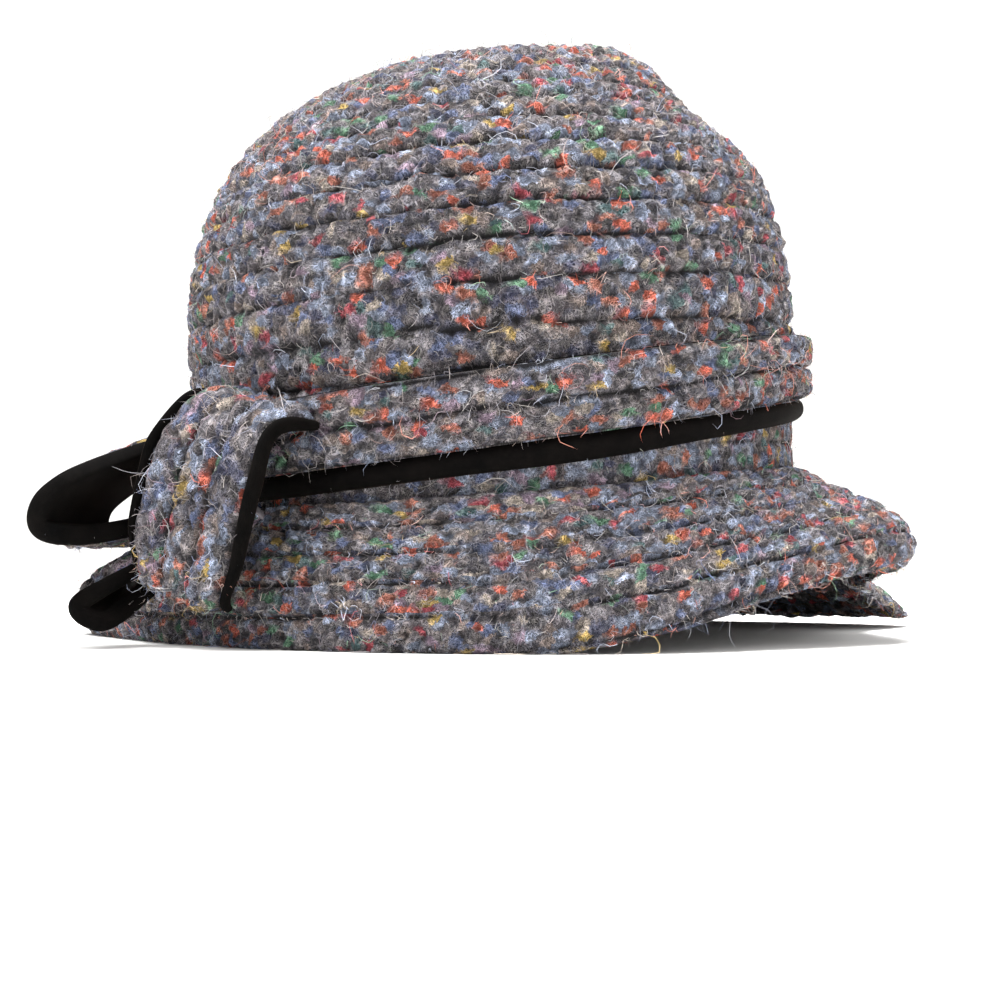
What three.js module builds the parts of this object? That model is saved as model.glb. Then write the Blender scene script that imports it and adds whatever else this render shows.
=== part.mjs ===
import * as THREE from 'three';

// A soft cloche hat sewn from rows of tweed strip, lying on its brim.
// Millimetres, +Z up, the floor at z = 0, the front of the hat toward -Y, the bow on the -X side.

// The head that the hat is made for
const headWidth = 163;
const headLength = 198;

// Cloth
const clearance = 0.35;
const stripThickness = 3.5;
const stripPitch = 9;
const stripRelief = 1.3;
const velvetThickness = 1.2;
const liningThickness = 1.0;
const sweatbandThickness = 1.2;
const sweatbandTop = 12;

// Crown, measured from the plane of the hatband's lower edge
const crownHeight = 113.5;
const crownEquator = 30;
const crownWaist = 0.97;
const crownFullness = 2.25;
const crownLean = 6;
const crownRoll = 4.5;
const bandPlaneHeight = 54;
const openingDropFront = 8;
const openingDropBack = 27;

// Brim
const brimWidth = 50;
const brimRows = 5;
const brimSettle = 1.5;
const hangingSlope = 88;
const levelSlope = 4;

// Hatband and its velvet backing
const bandHeight = 17;
const bandLift = 3.5;
const bandSlant = 6;
const velvetRoll = 2.2;

// Bow, at the front of the -X side
const bowRibbonWidth = 38;
const bowRibbonThickness = 3.6;
const bowVelvetEdge = 2.3;
const bowAzimuth = -34;
const knotWidth = 31;
const knotHeight = 44;
const knotDrop = 13;
const knotLean = 18;
const knotDepth = 20.5;
const sideLoopLength = 42;
const lowerLoopLength = 42;
const lowerLoopWidth = 20;

// How the bow's ribbons are gathered at their ends: the width there, and where they widen, as shares
const loopGather = 0.22;
const knotGather = 0.85;
const gatheredShare = 0.18;
const wideningShare = 0.2;

// How finely the curves are cut into flats
const turns = 44;
const flatsPerRow = 3;
const insideSteps = 6;
const ribbonSteps = 14;

const degrees = Math.PI / 180;

// The rim round the crown's centre. reach: how far the rim stands out from the opening; lift: how high
// it is above the floor; both as shares of brimWidth. flare: how nearly level the cloth is at the rim,
// from 0, hanging, to 1, level. belly: how far the brim swells out between opening and rim.
const rim = [
  { azimuth: 0, reach: 0.3, lift: 0.0, flare: 0.1, belly: 0.06 },
  { azimuth: 16, reach: 0.38, lift: 0.1, flare: 0.16, belly: 0.08 },
  { azimuth: 32, reach: 0.4, lift: 0.25, flare: 0.3, belly: 0.1 },
  { azimuth: 44, reach: 0.46, lift: 0.35, flare: 0.35, belly: 0.17 },
  { azimuth: 56, reach: 0.58, lift: 0.42, flare: 0.3, belly: 0.24 },
  { azimuth: 67, reach: 0.52, lift: 0.41, flare: 0.2, belly: 0.25 },
  { azimuth: 82, reach: 0.42, lift: 0.36, flare: 0.15, belly: 0.18 },
  { azimuth: 98, reach: 0.5, lift: 0.26, flare: 0.2, belly: 0.04 },
  { azimuth: 107, reach: 0.84, lift: 0.12, flare: 0.45, belly: -0.03 },
  { azimuth: 116, reach: 1.3, lift: 0.02, flare: 0.7, belly: -0.06 },
  { azimuth: 127, reach: 1.32, lift: 0.0, flare: 0.85, belly: -0.05 },
  { azimuth: 143, reach: 1.16, lift: 0.0, flare: 0.85, belly: -0.02 },
  { azimuth: 160, reach: 1.04, lift: 0.0, flare: 0.85, belly: 0.0 },
  { azimuth: 180, reach: 0.96, lift: 0.0, flare: 0.85, belly: 0.0 },
  { azimuth: 205, reach: 0.98, lift: 0.0, flare: 0.8, belly: 0.02 },
  { azimuth: 222, reach: 0.96, lift: 0.0, flare: 0.7, belly: 0.06 },
  { azimuth: 240, reach: 0.74, lift: 0.0, flare: 0.4, belly: 0.18 },
  { azimuth: 258, reach: 0.6, lift: 0.0, flare: 0.1, belly: 0.42 },
  { azimuth: 272, reach: 0.58, lift: 0.0, flare: 0.0, belly: 0.54 },
  { azimuth: 286, reach: 0.42, lift: 0.0, flare: 0.0, belly: 0.36 },
  { azimuth: 300, reach: 0.32, lift: 0.0, flare: 0.0, belly: 0.22 },
  { azimuth: 320, reach: 0.24, lift: 0.0, flare: 0.0, belly: 0.12 },
  { azimuth: 340, reach: 0.24, lift: 0.0, flare: 0.05, belly: 0.08 },
];

// Soft dents and bulges of the crown. climb: 0 at the widest ring, 1 at the top; depth: how far the
// cloth goes in, as a share of the crown's height, and out where it is less than zero.
const dents = [
  { azimuth: 95, climb: 0.5, depth: 0.03, spreadAround: 34, spreadUp: 0.1 },
  { azimuth: 80, climb: 0.3, depth: -0.02, spreadAround: 40, spreadUp: 0.12 },
  { azimuth: 75, climb: 0.68, depth: -0.05, spreadAround: 50, spreadUp: 0.13 },
  { azimuth: -90, climb: 0.5, depth: -0.012, spreadAround: 50, spreadUp: 0.2 },
  { azimuth: -20, climb: 0.6, depth: 0.01, spreadAround: 50, spreadUp: 0.18 },
  { azimuth: 170, climb: 0.45, depth: 0.02, spreadAround: 60, spreadUp: 0.16 },
];

// Half widths of the crown's outside at its widest ring
const liningBack = stripThickness + clearance;
const sweatbandBack = liningBack + liningThickness + clearance;
const crownHalfWidth = headWidth / 2 + sweatbandBack + sweatbandThickness;
const crownHalfLength = headLength / 2 + sweatbandBack + sweatbandThickness;

const materials = {
  tweed: new THREE.MeshStandardMaterial({ color: 0x55514f, roughness: 0.95, metalness: 0 }),
  tweedBand: new THREE.MeshStandardMaterial({ color: 0x5c5856, roughness: 0.95, metalness: 0 }),
  velvet: new THREE.MeshStandardMaterial({ color: 0x2a211c, roughness: 0.8, metalness: 0 }),
  lining: new THREE.MeshStandardMaterial({ color: 0x141214, roughness: 0.6, metalness: 0 }),
};

const mix = (a, b, share) => a + (b - a) * share;
const clamp = (value, low, high) => Math.min(Math.max(value, low), high);
const ease = (share) => share * share * (3 - 2 * share);

// A table's column read at any azimuth: a smooth curve through its rows that closes on itself.
function around(table, column, azimuth) {
  const angle = ((azimuth % 360) + 360) % 360;
  const count = table.length;
  const at = (i) => table[((i % count) + count) % count];
  const angleAt = (i) => at(i).azimuth + 360 * Math.floor(i / count);
  let i = count - 1;
  while (i >= 0 && angleAt(i) > angle) i -= 1;
  const slope = (k) => (at(k + 1)[column] - at(k - 1)[column]) / (angleAt(k + 1) - angleAt(k - 1));
  const span = angleAt(i + 1) - angleAt(i);
  const s = (angle - angleAt(i)) / span;
  const rise = s * s * (3 - 2 * s);
  const startPull = s * (1 - s) * (1 - s) * span * slope(i);
  const endPull = s * s * (s - 1) * span * slope(i + 1);
  return mix(at(i)[column], at(i + 1)[column], rise) + startPull + endPull;
}

// The crown's own frame, leaned to the front and rolled to the -X side, over the floor.
const crownTurn = new THREE.Euler(crownLean * degrees, -crownRoll * degrees, 0, 'XYZ');
const crownPlace = new THREE.Vector3(0, 0, bandPlaneHeight);
const fromCrown = (x, y, z) => new THREE.Vector3(x, y, z).applyEuler(crownTurn).add(crownPlace);
const crownDown = new THREE.Vector3(0, 0, -1).applyEuler(crownTurn);

function ovalRadius(azimuth, offset) {
  const across = Math.sin(azimuth * degrees) / (crownHalfWidth + offset);
  const along = Math.cos(azimuth * degrees) / (crownHalfLength + offset);
  return 1 / Math.hypot(across, along);
}

function dentAt(azimuth, climb) {
  let depth = 0;
  for (const dent of dents) {
    const turn = ((azimuth - dent.azimuth + 540) % 360) - 180;
    const away = Math.hypot(turn / dent.spreadAround, (climb - dent.climb) / dent.spreadUp);
    depth += dent.depth * crownHeight * Math.exp(-away * away);
  }
  return depth;
}

// Below the widest ring the wall draws in a little to the waist where the hatband sits.
function wallPoint(azimuth, height, offset) {
  const down = clamp((crownEquator - height) / crownEquator, 0, 1);
  const radius = ovalRadius(azimuth, 0) * mix(1, crownWaist, down) + offset;
  const turn = azimuth * degrees;
  return fromCrown(radius * Math.sin(turn), -radius * Math.cos(turn), height);
}

// Above it the crown closes as a dome. climb runs from 0 at the widest ring to 1 at the top.
function domePoint(azimuth, climb, offset) {
  const rise = (climb * Math.PI) / 2;
  const dent = dentAt(azimuth, climb) * ease(clamp((1 - climb) / 0.2, 0, 1));
  const radius = (ovalRadius(azimuth, 0) + offset - dent) * Math.cos(rise) ** (2 / crownFullness);
  const domeHeight = crownHeight - crownEquator + offset - dent;
  const height = crownEquator + domeHeight * Math.sin(rise) ** (2 / crownFullness);
  const turn = azimuth * degrees;
  return fromCrown(radius * Math.sin(turn), -radius * Math.cos(turn), height);
}

function openingHeight(azimuth) {
  const backward = (1 - Math.cos(azimuth * degrees)) / 2;
  return -mix(openingDropFront, openingDropBack, ease(backward));
}

const azimuths = Array.from({ length: turns }, (_, i) => (360 * i) / turns);
const ringOf = (pointAt) => azimuths.map((azimuth) => pointAt(azimuth));
const hoopRing = (height, offset) => ringOf((azimuth) => wallPoint(azimuth, height, offset));
const openingRing = (above, offset) =>
  ringOf((azimuth) => wallPoint(azimuth, openingHeight(azimuth) + above, offset));

// Joins rings of equal count into a closed solid. joined: the last ring meets the first, as in a hoop;
// otherwise each end closes on one point, the given tip or the middle of its ring.
function loft(rings, { joined = false, tips = [] } = {}) {
  const count = rings[0].length;
  const points = rings.flat();
  const faces = [];
  const links = joined ? rings.length : rings.length - 1;
  for (let i = 0; i < links; i += 1) {
    for (let j = 0; j < count; j += 1) {
      const a = i * count + j;
      const b = i * count + ((j + 1) % count);
      const c = ((i + 1) % rings.length) * count + ((j + 1) % count);
      const d = ((i + 1) % rings.length) * count + j;
      const shorter = points[a].distanceTo(points[c]) <= points[b].distanceTo(points[d]);
      faces.push(...(shorter ? [a, b, c, a, c, d] : [a, b, d, b, c, d]));
    }
  }
  if (!joined) {
    const ends = [rings[0], rings[rings.length - 1]];
    ends.forEach((ring, end) => {
      const tip = tips[end] ?? ring.reduce((sum, p) => sum.add(p), new THREE.Vector3()).divideScalar(count);
      const first = end * (rings.length - 1) * count;
      points.push(tip);
      for (let j = 0; j < count; j += 1) {
        const a = first + j;
        const b = first + ((j + 1) % count);
        faces.push(points.length - 1, end ? a : b, end ? b : a);
      }
    });
  }
  let volume = 0;
  for (let i = 0; i < faces.length; i += 3) {
    const [a, b, c] = [points[faces[i]], points[faces[i + 1]], points[faces[i + 2]]];
    volume += a.dot(new THREE.Vector3().crossVectors(b, c));
  }
  if (volume < 0) faces.reverse();
  const geometry = new THREE.BufferGeometry().setFromPoints(points);
  geometry.setIndex(faces);
  geometry.computeVertexNormals();
  return geometry;
}

function piece(name, geometry, material) {
  const mesh = new THREE.Mesh(geometry, material.clone());
  mesh.name = name;
  return mesh;
}

// The row's rounded rise between two seams, for a place counted in rows.
const rowRelief = (rows) => stripRelief * Math.abs(Math.sin(rows * Math.PI)) - stripRelief;

function crown() {
  const climbLength = (Math.PI / 4) * (crownHalfWidth + crownHeight - crownEquator);
  const rows = Math.round(climbLength / stripPitch);
  const rings = [];
  for (let i = insideSteps - 1; i >= 0; i -= 1) {
    rings.push(ringOf((azimuth) => domePoint(azimuth, i / insideSteps, -stripThickness)));
  }
  rings.push(hoopRing(0, -stripThickness), openingRing(0, -stripThickness));
  rings.push(openingRing(0, 0), hoopRing(0, 0));
  for (let i = 0; i < rows * flatsPerRow; i += 1) {
    const climb = i / (rows * flatsPerRow);
    const start = ease(clamp(i / flatsPerRow, 0, 1));
    rings.push(ringOf((azimuth) => domePoint(azimuth, climb, start * rowRelief(i / flatsPerRow))));
  }
  const tips = [domePoint(0, 1, -stripThickness), domePoint(0, 1, -stripRelief / 2)];
  return piece('crown', loft(rings, { tips }), materials.tweed);
}

// The brim's upper face from the opening, share 0, to the rim, share 1.
function brimPoint(azimuth, share) {
  const turn = azimuth * degrees;
  const outward = new THREE.Vector3(Math.sin(turn), -Math.cos(turn), 0);
  const start = wallPoint(azimuth, openingHeight(azimuth) - clearance, 0);
  const flare = around(rim, 'flare', azimuth);
  const reach = around(rim, 'reach', azimuth) * brimWidth;
  const lift = Math.max(around(rim, 'lift', azimuth), 0) * brimWidth;
  const openingRadius = Math.hypot(start.x, start.y);
  const end = outward.clone().multiplyScalar(openingRadius + reach);
  end.z = lift + stripThickness * mix(0.35, 1, flare) - brimSettle;
  const length = start.distanceTo(end);
  const slope = mix(hangingSlope, levelSlope, flare) * degrees;
  const arrive = outward.clone().multiplyScalar(Math.cos(slope)).setZ(-Math.sin(slope));
  const swell = outward.clone().multiplyScalar(around(rim, 'belly', azimuth) * brimWidth);
  const leave = crownDown.clone().addScaledVector(outward, 0.35).normalize();
  const leaving = start.clone().addScaledVector(leave, length * 0.3).addScaledVector(swell, 0.6);
  const arriving = end.clone().addScaledVector(arrive, -length * 0.36).add(swell);
  return new THREE.CubicBezierCurve3(start, leaving, arriving, end).getPoint(share);
}

function brimNormal(azimuth, share) {
  const step = 0.01;
  const from = brimPoint(azimuth, Math.max(share - step, 0));
  const to = brimPoint(azimuth, Math.min(share + step, 1));
  const before = brimPoint(azimuth - 1, share);
  const after = brimPoint(azimuth + 1, share);
  return to.sub(from).cross(before.sub(after)).normalize();
}

// A point of the brim at a depth under its upper face, never under the floor.
function brimAt(azimuth, share, depth) {
  const point = brimPoint(azimuth, share).addScaledVector(brimNormal(azimuth, share), -depth);
  point.z = Math.max(point.z, 0);
  return point;
}

function brim() {
  const underSteps = 7;
  const restShare = 0.93;
  const rings = [];
  for (let i = 0; i <= brimRows * flatsPerRow; i += 1) {
    const share = i / (brimRows * flatsPerRow);
    const relief = i === 0 ? 0 : -rowRelief(i / flatsPerRow) * (1 - share * 0.3);
    rings.push(ringOf((azimuth) => brimAt(azimuth, share, relief)));
  }
  for (let i = underSteps; i >= 0; i -= 1) {
    const share = i === underSteps ? 1 : (restShare * i) / (underSteps - 1);
    rings.push(ringOf((azimuth) => brimAt(azimuth, share, stripThickness)));
  }
  return piece('brim', loft(rings, { joined: true }), materials.tweed);
}

// The hatband sits a little lower on the -X side than on the +X side.
const bandHeightAt = (azimuth, height) => height + bandSlant * Math.sin(azimuth * degrees);

// A hoop round the crown's wall with a section of [height above the band's edge, offset] corners.
function hoop(name, section, material) {
  const rings = section.map(([height, offset]) =>
    ringOf((azimuth) => wallPoint(azimuth, bandHeightAt(azimuth, height), offset)));
  return piece(name, loft(rings, { joined: true }), material);
}

const velvetOut = clearance + velvetThickness;
const bandOut = velvetOut + clearance;

function hatband() {
  const top = bandLift + bandHeight;
  const middle = bandLift + bandHeight / 2;
  const outer = bandOut + stripThickness;
  const seam = outer - stripRelief;
  const rounding = stripRelief;
  const section = [
    [bandLift, bandOut], [bandLift, seam], [bandLift + rounding * 2, outer],
    [middle - rounding * 2, outer], [middle, seam], [middle + rounding * 2, outer],
    [top - rounding * 2, outer], [top, seam], [top, bandOut],
  ];
  return hoop('hatband', section, materials.tweedBand);
}

function hatbandVelvet() {
  const top = bandLift + bandHeight + velvetRoll * 0.6;
  const lip = velvetOut + velvetRoll;
  const underBand = bandLift - clearance;
  const section = [
    [0, clearance], [0, lip * 0.8], [velvetRoll * 0.5, lip], [underBand * 0.8, lip], [underBand, lip * 0.8],
    [underBand, velvetOut], [top, velvetOut], [top, clearance],
  ];
  return hoop('hatband_velvet', section, materials.velvet);
}

function lining() {
  const outer = -liningBack;
  const inner = outer - liningThickness;
  const rings = [];
  for (let i = insideSteps - 1; i >= 0; i -= 1) {
    rings.push(ringOf((azimuth) => domePoint(azimuth, i / insideSteps, inner)));
  }
  rings.push(hoopRing(0, inner), openingRing(clearance, inner));
  rings.push(openingRing(clearance, outer), hoopRing(0, outer));
  for (let i = 0; i < insideSteps; i += 1) {
    rings.push(ringOf((azimuth) => domePoint(azimuth, i / insideSteps, outer)));
  }
  const tips = [domePoint(0, 1, inner), domePoint(0, 1, outer)];
  return piece('lining', loft(rings, { tips }), materials.lining);
}

function sweatband() {
  const outer = -sweatbandBack;
  const inner = outer - sweatbandThickness;
  const rings = [
    hoopRing(sweatbandTop, outer), hoopRing(0, outer), openingRing(clearance, outer),
    openingRing(clearance, inner), hoopRing(0, inner), hoopRing(sweatbandTop, inner),
  ];
  return piece('sweatband', loft(rings, { joined: true }), materials.lining);
}

// The bow's own frame: its origin on the hatband, x along the band to the hat's -X side, y out of
// the hat and z up along the crown.
const bowOut = bandOut + stripThickness + clearance;
const bowMiddle = bandHeightAt(bowAzimuth, bandLift + bandHeight / 2);
const bowOrigin = wallPoint(bowAzimuth, bowMiddle, bowOut);
const bowOutward = wallPoint(bowAzimuth, bowMiddle, bowOut + 1).sub(bowOrigin).normalize();
const bowUp = crownDown.clone().negate();
const bowSide = new THREE.Vector3().crossVectors(bowOutward, bowUp).normalize();

function fromBow(x, y, z) {
  const point = bowOrigin.clone().addScaledVector(bowSide, x);
  return point.addScaledVector(bowOutward, y).addScaledVector(bowUp, z);
}

// A ribbon swept along a path in the bow's frame. across is the direction of its width, gather how
// narrow its ends are drawn, and rise how far its lower face lies from the path.
function ribbon({ name, path, across, gather, width, thickness, rise, material }) {
  const curve = new THREE.CatmullRomCurve3(path);
  const wide = new THREE.Vector3(...across).normalize();
  const corners = [
    [-0.5, 0], [-0.2, 0], [0.2, 0], [0.5, 0],
    [0.5, 0.8], [0.2, 1], [-0.2, 1], [-0.5, 0.8],
  ];
  const rings = [];
  for (let i = 0; i <= ribbonSteps; i += 1) {
    const middle = curve.getPoint(i / ribbonSteps);
    const along = curve.getTangent(i / ribbonSteps);
    const up = new THREE.Vector3().crossVectors(along, wide).normalize();
    const fromEnd = Math.min(i, ribbonSteps - i) / ribbonSteps;
    const spread = width * mix(gather, 1, ease(clamp((fromEnd - gatheredShare) / wideningShare, 0, 1)));
    rings.push(corners.map(([side, high]) => {
      const corner = middle.clone().addScaledVector(wide, side * spread);
      corner.addScaledVector(up, rise + high * thickness);
      return fromBow(corner.x, corner.y, corner.z);
    }));
  }
  return piece(name, loft(rings), material);
}

// A loop of the bow: the tweed outside and the velvet inside it, which stands out at both edges.
function loop(name, { path, across, gather, wide }) {
  const tweed = { width: wide, thickness: bowRibbonThickness, rise: 0, material: materials.tweedBand };
  const velvet = {
    width: wide + 2 * bowVelvetEdge,
    thickness: velvetThickness,
    rise: -clearance - velvetThickness,
    material: materials.velvet,
  };
  return [
    ribbon({ name, path, across, gather, ...tweed }),
    ribbon({ name: `${name}_velvet`, path, across, gather, ...velvet }),
  ];
}

// The wrap in the bow's middle, from under the band up over its front, leaning to the hat's front.
function knotPath() {
  const places = [
    [1.1, -0.97], [1.14, -0.9], [1.16, -0.5], [1.1, 0], [1, 0.5], [0.72, 0.92], [0.08, 0.98],
  ];
  const lean = knotLean * degrees;
  return places.map(([out, up]) => {
    const along = (up * knotHeight) / 2;
    return new THREE.Vector3(-along * Math.sin(lean), out * knotDepth, along * Math.cos(lean) - knotDrop);
  });
}

// A loop that runs out to the hat's -X side. places: how far out to the side, how far up and how far
// forward of the root, as shares of the loop's length.
function sidePath(length, width, places) {
  const side = (bowAzimuth + 90) * degrees;
  const root = clearance + (loopGather * (width + 2 * bowVelvetEdge)) / 2;
  return places.map(([out, up, forward]) => {
    const along = out * Math.sin(side) - forward * Math.cos(side);
    const outward = out * Math.cos(side) + forward * Math.sin(side);
    return new THREE.Vector3(along * length, root + outward * length, up * length);
  });
}

function bow() {
  const sidePlaces = [
    [0, 0.08, 0], [0.26, 0.08, -0.2], [0.5, 0.02, -0.3], [0.78, -0.13, -0.12], [0.98, -0.29, 0],
    [1, -0.4, 0], [0.88, -0.45, -0.04], [0.6, -0.41, -0.26], [0.3, -0.28, -0.22], [0, -0.08, 0],
  ];
  const lowerPlaces = [
    [0, -0.28, 0.04], [0.26, -0.46, -0.14], [0.54, -0.58, -0.16], [0.8, -0.69, 0], [0.93, -0.78, 0.06],
    [0.84, -0.85, 0.02], [0.64, -0.74, -0.1], [0.3, -0.55, -0.1], [0, -0.37, 0.04],
  ];
  const lean = knotLean * degrees;
  const knot = {
    path: knotPath(),
    across: [Math.cos(lean), 0, Math.sin(lean)],
    gather: knotGather,
    wide: knotWidth,
  };
  const side = {
    path: sidePath(sideLoopLength, bowRibbonWidth, sidePlaces),
    across: [-0.5, 0.85, 0.1],
    gather: loopGather,
    wide: bowRibbonWidth,
  };
  const lower = {
    path: sidePath(lowerLoopLength, lowerLoopWidth, lowerPlaces),
    across: [-0.45, 0.8, -0.2],
    gather: loopGather,
    wide: lowerLoopWidth,
  };
  return [...loop('bow_knot', knot), ...loop('bow_side_loop', side), ...loop('bow_lower_loop', lower)];
}

const hat = new THREE.Group();
hat.add(crown(), brim(), hatband(), hatbandVelvet(), lining(), sweatband(), ...bow());

// The origin goes under the middle of the hat, on the floor.
const box = new THREE.Box3().setFromObject(hat, true);
const middle = box.getCenter(new THREE.Vector3());
hat.children.forEach((mesh) => mesh.position.set(-middle.x, -middle.y, -box.min.z));

export default hat;
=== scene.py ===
import math

import bpy
import numpy as np
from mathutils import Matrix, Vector


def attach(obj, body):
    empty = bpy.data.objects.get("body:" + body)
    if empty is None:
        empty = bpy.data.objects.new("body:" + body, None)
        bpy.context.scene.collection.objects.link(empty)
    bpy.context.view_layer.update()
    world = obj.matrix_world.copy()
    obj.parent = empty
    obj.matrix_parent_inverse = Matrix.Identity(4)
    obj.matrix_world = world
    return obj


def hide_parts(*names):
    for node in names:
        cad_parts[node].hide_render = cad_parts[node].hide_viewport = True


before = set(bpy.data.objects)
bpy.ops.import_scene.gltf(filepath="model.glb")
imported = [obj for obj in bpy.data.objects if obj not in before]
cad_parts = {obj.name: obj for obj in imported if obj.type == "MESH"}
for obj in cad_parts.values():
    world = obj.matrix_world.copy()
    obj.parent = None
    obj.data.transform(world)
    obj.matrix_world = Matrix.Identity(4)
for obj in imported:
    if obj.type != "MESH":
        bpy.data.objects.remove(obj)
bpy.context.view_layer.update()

# A soft cloche hat sewn from rows of knitted tweed strip. The shapes are worked out in millimetres, in
# the crown's own place, and turned to metres where each piece is made.

# ---- Sizes that the shapes share with the part ----
HEAD_WIDTH = 163
HEAD_LENGTH = 198
CLEARANCE = 0.35
STRIP_THICKNESS = 3.5
STRIP_PITCH = 9
STRIP_RELIEF = 1.3
VELVET_THICKNESS = 1.2
LINING_THICKNESS = 1.0
SWEATBAND_THICKNESS = 1.2
SWEATBAND_TOP = 12
CROWN_HEIGHT = 113.5
CROWN_EQUATOR = 30
CROWN_WAIST = 0.97
CROWN_FULLNESS = 2.25
CROWN_LEAN = 6
CROWN_ROLL = 4.5
BAND_PLANE_HEIGHT = 54
OPENING_DROP_FRONT = 8
OPENING_DROP_BACK = 27
BRIM_WIDTH = 50
BRIM_ROWS = 5
BRIM_SETTLE = 1.5
BAND_HEIGHT = 17
BAND_LIFT = 3.5
BAND_SLANT = 6
VELVET_ROLL = 2.2
BOW_RIBBON_WIDTH = 38
BOW_RIBBON_THICKNESS = 3.6
BOW_VELVET_EDGE = 2.3
BOW_AZIMUTH = -34
KNOT_WIDTH = 31
KNOT_HEIGHT = 44
KNOT_DROP = 13
KNOT_LEAN = 18
KNOT_DEPTH = 20.5
SIDE_LOOP_LENGTH = 42
LOWER_LOOP_LENGTH = 42
LOWER_LOOP_WIDTH = 20
LOOP_GATHER = 0.22
KNOT_GATHER = 0.85

# The brim's curve: the rim's slope in degrees where it hangs and where it flares, how far the curve
# keeps the directions at both ends, and how high the rim's face stands where it hangs on its edge.
SLOPE_HANGING, SLOPE_FLARED = 88, 4
LEAVE_OUTWARD, LEAVE_REACH, ARRIVE_REACH = 0.35, 0.3, 0.36
BELLY_AT_START = 0.6
HANGING_EDGE = 0.35

# The crown's middle in the frame, whose origin is under the middle of the whole hat.
CROWN_MIDDLE = np.array([-7.373, -16.774, 0.0])


def named_rows(columns, rows):
    """A table's rows, each with its values under the columns' names."""
    return [dict(zip(columns.split(), row)) for row in rows]


# azimuth: degrees round the crown from the front, to the hat's +X side; reach and lift: the rim's
# distance out of the opening and height over the floor, as shares of BRIM_WIDTH; flare: how nearly
# level the cloth is at the rim; belly: how far the brim swells out above it.
RIM = named_rows("azimuth reach lift flare belly", [
    (0, 0.3, 0.0, 0.1, 0.06),
    (16, 0.38, 0.1, 0.16, 0.08),
    (32, 0.4, 0.25, 0.3, 0.1),
    (44, 0.46, 0.35, 0.35, 0.17),
    (56, 0.58, 0.42, 0.3, 0.24),
    (67, 0.52, 0.41, 0.2, 0.25),
    (82, 0.42, 0.36, 0.15, 0.18),
    (98, 0.5, 0.26, 0.2, 0.04),
    (107, 0.84, 0.12, 0.45, -0.03),
    (116, 1.3, 0.02, 0.7, -0.06),
    (127, 1.32, 0.0, 0.85, -0.05),
    (143, 1.16, 0.0, 0.85, -0.02),
    (160, 1.04, 0.0, 0.85, 0.0),
    (180, 0.96, 0.0, 0.85, 0.0),
    (205, 0.98, 0.0, 0.8, 0.02),
    (222, 0.96, 0.0, 0.7, 0.06),
    (240, 0.74, 0.0, 0.4, 0.18),
    (258, 0.6, 0.0, 0.1, 0.42),
    (272, 0.58, 0.0, 0.0, 0.54),
    (286, 0.42, 0.0, 0.0, 0.36),
    (300, 0.32, 0.0, 0.0, 0.22),
    (320, 0.24, 0.0, 0.0, 0.12),
    (340, 0.24, 0.0, 0.05, 0.08),
])

# climb: 0 at the crown's widest ring, 1 at its top; depth: in, as a share of the crown's height; around
# and up: the dent's reach in degrees and as a share of the climb.
DENTS = named_rows("azimuth climb depth around up", [
    (95, 0.5, 0.03, 34, 0.1),
    (80, 0.3, -0.02, 40, 0.12),
    (75, 0.68, -0.05, 50, 0.13),
    (-90, 0.5, -0.012, 50, 0.2),
    (-20, 0.6, 0.01, 50, 0.18),
    (170, 0.45, 0.02, 60, 0.16),
])

# ---- The knit, in millimetres, and shares of a row ----
STITCH_LENGTH = 4.6
STITCH_HEIGHT = 1.6
STITCH_SLANT = 1.3
STITCH_WANDER = 0.35
RIDGE_SQUARENESS = 0.3
RIDGE_PARTING = 0.3
PARTING_WIDTH = 0.08
SEAM_DEPTH = 2.4
SEAM_GROOVE = 1.3
SEAM_WIDTH = 0.07
SEAM_WANDER = 0.11
COARSE_LUMP, MIDDLE_LUMP, FINE_LUMP = 6.0, 2.8, 1.3
LUMP_HEIGHT = 0.5
FINE_LUMP_HEIGHT = 0.25

# ---- How the cloth meshes differ from the plain solids ----
VELVET_SAG = 2.4
CROWN_TUCK = 2.2
TOP_CLIMB = 0.985
# The seam depth given to the bow ribbons' undersides and gathered ends, which darkens their colour as painted
# shade.
EDGE_SHADE_DEPTH = 0.4
GATHER_SHARE, WIDENING_SHARE = 0.18, 0.2

# ---- Fineness ----
CROWN_COLUMNS = 520
BRIM_COLUMNS = 640
BAND_COLUMNS = 480
RINGS_PER_ROW = 9

LINING_BACK = STRIP_THICKNESS + CLEARANCE
SWEATBAND_BACK = LINING_BACK + LINING_THICKNESS + CLEARANCE
CROWN_HALF_WIDTH = HEAD_WIDTH / 2 + SWEATBAND_BACK + SWEATBAND_THICKNESS
CROWN_HALF_LENGTH = HEAD_LENGTH / 2 + SWEATBAND_BACK + SWEATBAND_THICKNESS
VELVET_OUT = CLEARANCE + VELVET_THICKNESS
BAND_OUT = VELVET_OUT + CLEARANCE
BOW_OUT = BAND_OUT + STRIP_THICKNESS + CLEARANCE


# ---- Small helpers ----
def mix(a, b, share):
    return a + (b - a) * share


def ease(share):
    return share * share * (3 - 2 * share)


def unit(vectors):
    return vectors / np.maximum(np.linalg.norm(vectors, axis=-1, keepdims=True), 1e-9)


def around(table, column, azimuth):
    """A table's column read at any azimuth, as a smooth curve through its rows that closes on itself."""
    angles = np.array([row["azimuth"] for row in table], float)
    values = np.array([row[column] for row in table], float)
    angle = np.mod(azimuth, 360)
    extended = np.concatenate([angles[-1:] - 360, angles, angles[:2] + 360])
    wrapped = np.concatenate([values[-1:], values, values[:2]])
    k = np.clip(np.searchsorted(angles, angle, side="right"), 1, len(angles))
    slope = (wrapped[k + 1] - wrapped[k - 1]) / (extended[k + 1] - extended[k - 1])
    next_slope = (wrapped[k + 2] - wrapped[k]) / (extended[k + 2] - extended[k])
    span = extended[k + 1] - extended[k]
    s = (angle - extended[k]) / span
    pull = s * (1 - s) ** 2 * span * slope + s * s * (s - 1) * span * next_slope
    return mix(wrapped[k], wrapped[k + 1], ease(s)) + pull


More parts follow.
